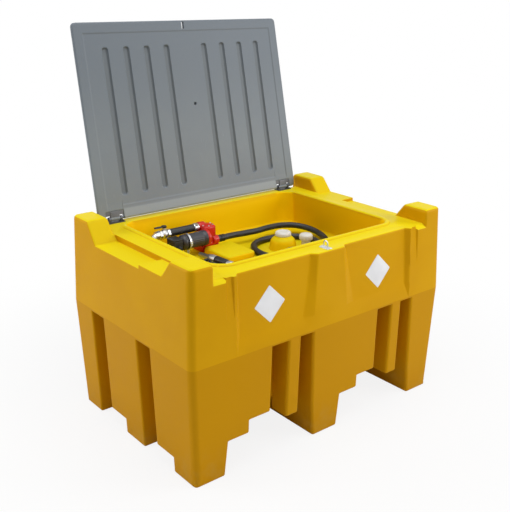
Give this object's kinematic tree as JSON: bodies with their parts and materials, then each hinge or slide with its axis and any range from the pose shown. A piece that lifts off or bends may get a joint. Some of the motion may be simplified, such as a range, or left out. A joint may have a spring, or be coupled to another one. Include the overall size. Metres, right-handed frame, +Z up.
{
  "type": "diesel fuel tank",
  "caption": "Rotomoulded box-shaped diesel fuel tank with fork pockets, raised corners, a hinged lid and an equipment basin holding pump, hose, nozzle and filler.",
  "frame": {"origin": "middle of the underside of the middle foot, on the ground, at the centre of the footprint", "axes": "+X along the long front side from left to right, +Y from the front to the hinge side, +Z up"},
  "size_m": [1.2, 0.9395, 1.459],
  "materials": {
    "yellow_plastic": "moulded satin",
    "grey_plastic": "moulded satin",
    "bright_steel": "zinc plated",
    "dark_steel": "satin paint",
    "red_metal": "powder coated casting",
    "motor_grey": "powder coated",
    "black_plastic": "moulded",
    "black_rubber": "satin",
    "nozzle_metal": "cast",
    "white_plastic": "moulded"
  },
  "bodies": {
    "tank": {"left_runner": "yellow_plastic", "middle_runner": "yellow_plastic", "right_runner": "yellow_plastic", "tank_floor": "yellow_plastic", "front_lower_wall": "yellow_plastic", "back_lower_wall": "yellow_plastic", "left_lower_wall": "yellow_plastic", "right_lower_wall": "yellow_plastic", "front_rim": "yellow_plastic", "back_rim": "yellow_plastic", "left_rim": "yellow_plastic", "right_rim": "yellow_plastic", "front_left_corner": "yellow_plastic", "front_right_corner": "yellow_plastic", "back_left_corner": "yellow_plastic", "back_right_corner": "yellow_plastic", "basin_floor": "yellow_plastic", "equipment_shelf": "yellow_plastic", "left_hinge_bracket": "dark_steel", "right_hinge_bracket": "dark_steel", "left_hinge_pin": "bright_steel", "right_hinge_pin": "bright_steel", "hasp_plate": "bright_steel", "hasp_loop": "bright_steel", "pump_foot": "dark_steel", "pump_body": "red_metal", "pump_motor": "motor_grey", "motor_strap": "bright_steel", "terminal_box": "black_plastic", "suction_riser": "bright_steel", "suction_valve": "bright_steel", "suction_pipe": "black_rubber", "pipe_clamp": "bright_steel", "hose_tail": "black_rubber", "delivery_hose": "black_rubber", "nozzle_body": "nozzle_metal", "nozzle_guard": "black_plastic", "nozzle_spout": "nozzle_metal", "filler_neck": "yellow_plastic", "filler_cap": "white_plastic", "vent_body": "white_plastic", "vent_cap": "white_plastic"},
    "lid": {"lid": "grey_plastic"},
    "valve_handle": {"valve_handle": "black_plastic"}
  },
  "joints": [
    {"name": "lid_hinge", "type": "hinge", "parent": "tank", "child": "lid", "pos_m": [0, 0.37, 0.72], "axis": [1, 0, 0], "range_deg": [0, 102]},
    {"name": "suction_valve_turn", "type": "hinge", "parent": "tank", "child": "valve_handle", "pos_m": [-0.276, 0.258, 0.684], "axis": [0, 0, 1], "range_deg": [-90, 0]}
  ]
}
